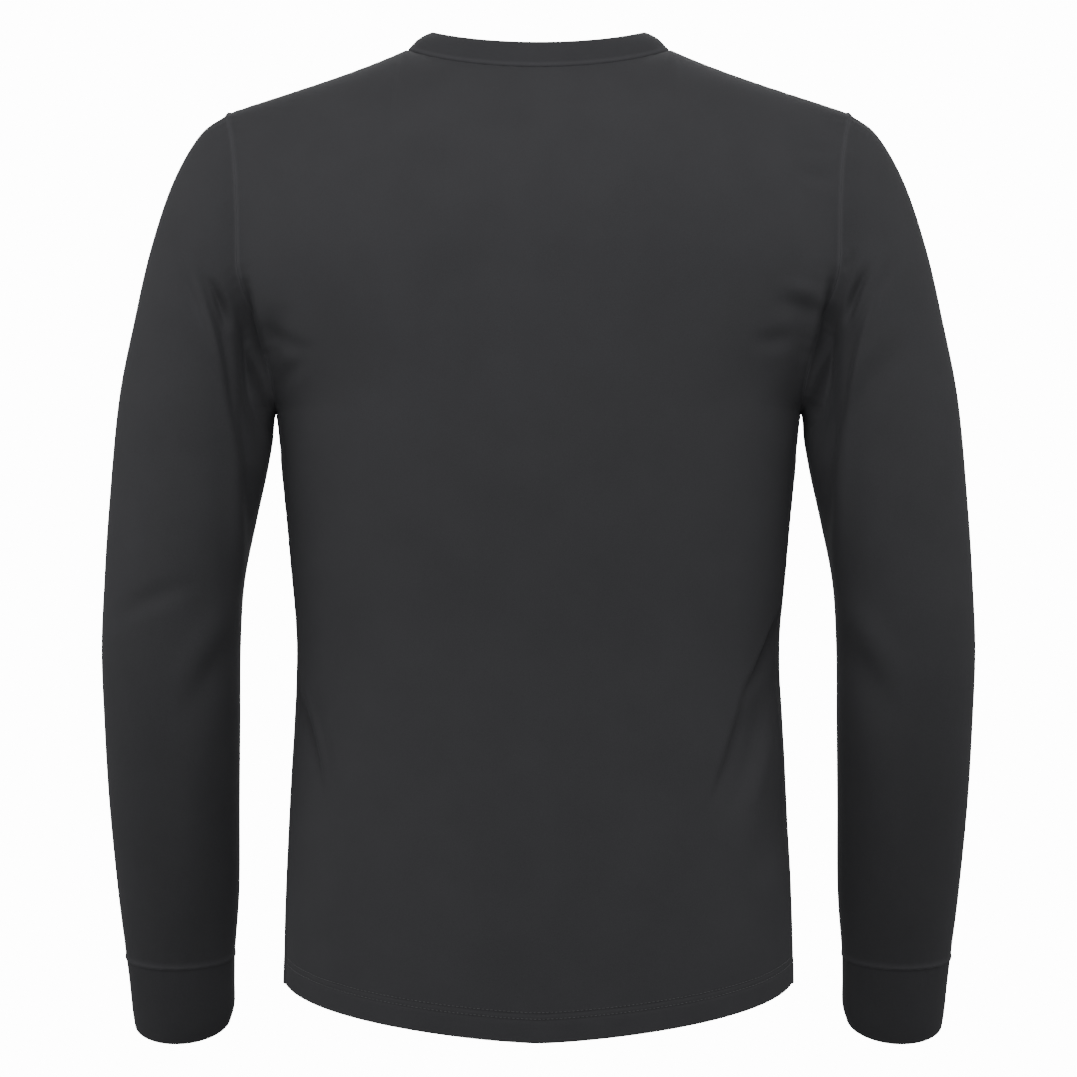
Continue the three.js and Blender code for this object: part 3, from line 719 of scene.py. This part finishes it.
def makeThread(name, values):
    material = bpy.data.materials.new(name)
    material.use_nodes = True
    tree = material.node_tree
    shader = tree.nodes["Principled BSDF"]
    place = addNode(tree, "ShaderNodeTexCoord").outputs["Object"]
    twist = addNode(tree, "ShaderNodeTexNoise", {"Vector": place, "Scale": 5200.0, "Detail": 2.0})
    shade = addNode(tree, "ShaderNodeValToRGB", {"Fac": twist.outputs["Fac"]})
    shade.color_ramp.elements[0].color = [c * 0.75 for c in values["color"]] + [1.0]
    shade.color_ramp.elements[1].color = [c * 1.25 for c in values["color"]] + [1.0]
    tree.links.new(shade.outputs["Color"], shader.inputs["Base Color"])
    bump = {"Height": twist.outputs["Fac"], "Strength": 0.5, "Distance": 0.00006}
    tree.links.new(addNode(tree, "ShaderNodeBump", bump).outputs["Normal"], shader.inputs["Normal"])
    shader.inputs["Roughness"].default_value = values["roughness"]
    shader.inputs["Sheen Weight"].default_value = values["sheen"]
    return material


jerseyCloth = makeJersey("jersey", jersey)
doubleCloth = makeJersey("double_jersey", doubleJersey)
sewingThread = makeThread("sewing_thread", thread)
print("materials made")


# Shares across half a panel: even steps over the neckline and the shoulder, and close ones at the edge
def acrossShares():
    toNeck = np.linspace(0, neck["share"], cut["neckSteps"] + 1)
    edge = 1 - np.array(edgeSteps[::-1]) / (cut["panelWidth"] / 2)
    toEdge = np.linspace(neck["share"], edge[0], cut["shoulderSteps"] + 1)
    half = np.concatenate([toNeck, toEdge[1:], edge[1:]])
    return np.concatenate([-half[:0:-1], half])


# Heights up a panel: close rows in the hem, even ones to the armhole and up it, close ones at the top
def upShares():
    low = np.array(hemSteps) / cut["sideHeight"]
    side = np.linspace(low[-1], 1, cut["sideRows"] + 1)[1:]
    high = 3 - np.array(edgeSteps[::-1]) / cut["yokeHeight"]
    underarm = np.linspace(1, 2, cut["underarmRows"] + 1)[1:]
    yokeUp = np.linspace(2, high[0], cut["yokeRows"] + 1)[1:]
    return np.concatenate([low, side, underarm, yokeUp, high[1:]])


acrossAt, upAt = acrossShares(), upShares()
armholeUpAt = upAt[upAt >= 1]
ringBack = 90 * (armholeUpAt - 1)  # a sleeve's columns match the panels' rows up the armhole
ringAngles = np.concatenate([ringBack, 360 - ringBack[-2::-1]])


# Rows down a sleeve, in sections: close ones at both seams, and closer ones in the cap than below it
def sleeveShares():
    capEnd = 5
    start = np.array(capSteps)
    end = len(sleeveRows) - 1 - np.array(wristSteps)
    cap = np.linspace(start[-1], capEnd, cut["capRows"] + 1)[1:]
    arm = np.linspace(capEnd, end[0], cut["armRows"] + 1)[1:]
    return np.concatenate([start, cap, arm, end[1:]])


def cuffShares():
    start = np.array(edgeSteps) / cut["cuffTop"]
    end = len(cuffRows) - 1 - np.array(cuffEndSteps) / cut["cuffEnd"]
    return np.concatenate([start, np.linspace(start[-1], end[0], cut["cuffRows"] + 1)[1:], end[1:]])


# All base grids and the ways they face
panels = {side: torsoPoint(side, acrossAt[None, :], upAt[:, None]) for side in (1, -1)}
panelFacing = {side: gridFacing(panels[side], False, -side) for side in (1, -1)}
sleeveBase = sleevePoint(ringAngles[None, :], sleeveShares()[:, None])
sleeveFacing = gridFacing(sleeveBase, True, 1)


# The way shared by the pieces that meet at an armhole or side seam, row by row up the panel
def sharedSeamWay():
    back, front = panelFacing[1][:, -1], panelFacing[-1][:, -1]
    together = unit(back + front)
    onSeam = upAt >= 1
    count = onSeam.sum()
    ring = sleeveFacing[0]
    backWay, frontWay = together.copy(), together.copy()
    backWay[onSeam] = unit(back[onSeam] + ring[:count])
    frontWay[onSeam] = unit(front[onSeam] + ring[::-1][:count])
    for way in (backWay, frontWay):
        blend = ramp(upAt, 1.0, 1.12)[:, None]
        under = unit(together[onSeam][:1] + ring[:1])
        start = np.where(onSeam[:, None], under, together)
        way[:] = unit(mix(start, way, np.where(onSeam[:, None], blend, 1)))
    return {1: backWay, -1: frontWay}


seamWay = sharedSeamWay()
mirrorX = np.array([-1.0, 1.0, 1.0])
for side, facing in panelFacing.items():
    nearSeam = ramp(np.abs(acrossAt), 0.92, 1.0)[None, :, None]
    onLeft, way = (acrossAt >= 0)[None, :, None], seamWay[side][:, None]
    shared = np.where(onLeft, way, way * mirrorX)
    own = np.where(onLeft, facing[:, -1:], facing[:, :1])
    panelFacing[side] = unit(facing + (shared - own) * nearSeam)
ringWay = np.concatenate([seamWay[1][upAt >= 1], seamWay[-1][upAt >= 1][-2::-1]])
nearArmhole = (1 - ramp(sleeveShares(), 0.0, 0.8))[:, None, None]
sleeveFacing = unit(sleeveFacing + (ringWay - sleeveFacing[0])[None] * nearArmhole)


# finishSheet parents a piece to the root body and hides its part in the frame. flat, listed with each
# panel below: width and length, in metres, of the rectangle that the cut of what shows fits into;
# area: its area in square metres
def finishSheet(piece, node):
    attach(piece, "root")
    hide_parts(node)


# Fine stitches along a path: each is a short bead, thick in the middle, with blunt ends sunk in the
# cloth; one bead's rings and faces are repeated as arrays
stitch = {"pitch": 3.0, "length": 2.3, "width": 0.44, "blunt": 0.05, "rise": 0.2, "sink": 1.6}
stitch.update({"around": 6, "rings": 4})


def stitchMesh(name, paths):
    places, ways, outs = [], [], []
    for path, facing in paths:
        length = np.concatenate([[0.0], np.cumsum(np.linalg.norm(np.diff(path, axis=0), axis=1))])
        at = np.arange(stitch["pitch"], length[-1] - stitch["pitch"], stitch["pitch"])
        spot = np.stack([np.interp(at, length, path[:, k]) for k in range(3)], -1)
        ahead = np.stack([np.interp(at + 0.5, length, path[:, k]) for k in range(3)], -1)
        places.append(spot)
        ways.append(unit(ahead - spot))
        outs.append(unit(np.stack([np.interp(at, length, facing[:, k]) for k in range(3)], -1)))
    spot, way, out = np.concatenate(places), np.concatenate(ways), np.concatenate(outs)
    aside = unit(np.cross(way, out))
    ring = np.linspace(-1, 1, stitch["rings"])
    turn = np.linspace(0, 2 * np.pi, stitch["around"], endpoint=False)
    swell = np.sqrt(1 + stitch["blunt"] - ring ** 2)[:, None]
    lifted = (stitch["rise"] * (1 - stitch["sink"] * ring ** 2))[:, None]
    alongShift = (ring * stitch["length"] / 2)[:, None] + 0 * turn
    asideShift = swell * np.cos(turn) * stitch["width"] / 2
    outShift = swell * np.sin(turn) * stitch["width"] / 2 + lifted
    bead = [shift.reshape(1, -1, 1) for shift in (alongShift, asideShift, outShift)]
    points = spot[:, None] + way[:, None] * bead[0] + aside[:, None] * bead[1] + out[:, None] * bead[2]
    around, rings = stitch["around"], stitch["rings"]
    j, i = np.meshgrid(np.arange(rings - 1), np.arange(around), indexing="ij")
    nextI = (i + 1) % around
    low, high = j * around, (j + 1) * around
    faces = np.stack([low + i, low + nextI, high + nextI, high + i], -1).reshape(-1, 4)
    beadStart = np.arange(len(spot)) * around * rings
    allFaces = (faces[None] + beadStart[:, None, None]).reshape(-1, 4).tolist()
    firstCap = np.arange(around)[::-1]
    lastCap = np.arange(around) + around * (rings - 1)
    for cap in (firstCap, lastCap):
        allFaces += (cap[None] + beadStart[:, None]).tolist()
    mesh = bpy.data.meshes.new(name)
    mesh.from_pydata((points.reshape(-1, 3) * metre).tolist(), [], allFaces)
    mesh.polygons.foreach_set("use_smooth", np.ones(len(allFaces), bool))
    mesh.materials.append(sewingThread)
    piece = bpy.data.objects.new(name, mesh)
    bpy.context.scene.collection.objects.link(piece)
    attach(piece, "root")
    return piece


# A panel: its folds, the lifted edges over its seams, puckers, and the hem's two pulled-in rows
def makePanel(name, side):
    place, facing = panels[side], panelFacing[side]
    across, up = runLength(place, 1), runLength(place, 0)
    fromSide = np.minimum(across, across[:, -1:] - across)
    fromTop, fromHem = up[-1:] - up, up
    onArmhole = ramp(upAt, 0.99, 1.02)[:, None]
    relief = foldRelief(place, facing, folds) + foldRelief(place, facing, creases)
    onShoulder = ramp(np.abs(acrossAt), neck["share"], neck["share"] + 0.04)[None, :]
    # The armhole seam ridge, which also sets where the colour gets a painted highlight
    ridgeHighlight = seamRidge(fromSide, seams["armhole"]) * onArmhole
    relief = relief + seams["armhole"]["lift"] * ridgeHighlight
    sideRidge = seamRidge(fromSide, seams["side"]) * (1 - onArmhole) * ramp(fromHem, 8, 20)
    relief = relief + seams["side"]["lift"] * sideRidge
    relief = relief + seams["shoulder"]["lift"] * seamRidge(fromTop, seams["shoulder"]) * onShoulder
    relief = relief + puckers(up, fromSide, side) * ramp(fromHem, 20, 60)
    relief = relief + 0.6 * puckers(across, fromTop, 2.0)
    rows = sum(np.exp(-(((fromHem - row) / turnUp["half"]) ** 2)) for row in turnUp["rows"])
    phase = across / turnUp["rippleLength"] + turnUp["wander"] * np.sin(across / turnUp["wanderLength"])
    ripple = np.sin(phase) * np.exp(-(((fromHem - turnUp["rippleMiddle"]) / turnUp["rippleReach"]) ** 2))
    varied = 1 + turnUp["pullVaries"] * np.sin(across / turnUp["pullLength"])
    relief = relief - turnUp["pull"] * rows * varied
    relief = relief + turnUp["swell"] * (1 - ramp(fromHem, turnUp["swellFrom"], turnUp["swellTo"]))
    relief = relief + turnUp["ripple"] * ripple
    shrink = edgeShrink(fromHem, np.minimum(fromSide, fromTop), cut["bodyWall"])
    wall = cut["bodyWall"]
    piece, outer = clothMesh(name, place, facing, relief, ridgeHighlight, wall, shrink, False, jerseyCloth)
    paths = []
    for row in turnUp["rows"]:
        line = hemSteps.index(row)
        paths.append((outer[line, 4:-4], facing[line, 4:-4]))
    stitches = stitchMesh(name + "_hem_stitches", paths)
    return piece, stitches


def makeSleeve(name, side):
    place, facing = sleeveBase * (side, 1, 1), sleeveFacing * (side, 1, 1)
    around, up = runLength(place, 1), runLength(place, 0)
    relief = foldRelief(place, facing, folds) + foldRelief(place, facing, creases)
    relief = relief + puckers(around, up, 0.7 * side) * ramp(up, 0, 3)
    relief = relief + 0.5 * puckers(around, up[-1:] - up, 1.9)
    capRidge, endRidge = seamRidge(up, seams["armhole"]), seamRidge(up[-1:] - up, seams["sleeveEnd"])
    relief = relief + seams["armhole"]["lift"] * capRidge + seams["sleeveEnd"]["lift"] * endRidge
    wall = cut["bodyWall"]
    shrink = edgeShrink(wall, np.minimum(up, up[-1:] - up), wall)
    # The cap and end ridges also set where the colour gets a painted highlight
    return clothMesh(name, place, facing, relief, capRidge + endRidge, wall, shrink, True, jerseyCloth)[0]


def makeCuff(name, side):
    base = cuffPoint(ringAngles[None, :], cuffShares()[:, None])
    place, facing = base * (side, 1, 1), gridFacing(base, True, 1) * (side, 1, 1)
    around, up = runLength(place, 1), runLength(place, 0)
    # The cuff's seam ridge also sets where the colour gets a painted highlight
    ridgeHighlight, wall = seamRidge(up, seams["cuff"]), cut["cuffWall"]
    relief = seams["cuff"]["lift"] * ridgeHighlight + 0.5 * puckers(around, up, 0.4 + side)
    shrink = edgeShrink(up[-1:] - up, up, wall)
    return clothMesh(name, place, facing, relief, ridgeHighlight, wall, shrink, True, doubleCloth)[0]


# The band's columns are the panels' own neckline columns, so both sides of the seam match
def makeBand(name):
    shares = acrossAt[np.abs(acrossAt) <= neck["share"] + 1e-9] / neck["share"]
    loop = np.concatenate([1 + shares, (3 + shares)[1:]])
    start = np.array(edgeSteps) / neck["bandWidth"]
    end = 1 - np.array(bandEndSteps) / neck["bandWidth"]
    rows = np.concatenate([start, np.linspace(start[-1], end[0], cut["bandRows"] + 1)[1:], end[1:]])
    place = bandPoint(loop[None, :], rows[:, None])
    facing = gridFacing(place, True, -1)
    around, up = runLength(place, 1), runLength(place, 0)
    # The band's seam ridge also sets where the colour gets a painted highlight
    ridgeHighlight, wall = seamRidge(up, seams["neck"]), cut["bandWall"]
    relief = seams["neck"]["lift"] * ridgeHighlight + 0.5 * puckers(around, up, 0.9)
    shrink = edgeShrink(up[-1:] - up, up, wall)
    return clothMesh(name, place, facing, relief, ridgeHighlight, wall, shrink, True, doubleCloth)[0]


for node, side, flat, area in (("back", 1, (0.5, 0.745), 0.306), ("front", -1, (0.54, 0.735), 0.333)):
    panel, stitches = makePanel(node + "_cloth", side)
    finishSheet(panel, node)
print("panels made")
for node, side in (("left_sleeve", 1), ("right_sleeve", -1)):
    finishSheet(makeSleeve(node + "_cloth", side), node)
for node, side in (("left_cuff", 1), ("right_cuff", -1)):
    finishSheet(makeCuff(node + "_cloth", side), node)
finishSheet(makeBand("neckband_cloth"), "neckband")
print("sleeves, cuffs and neckband made")
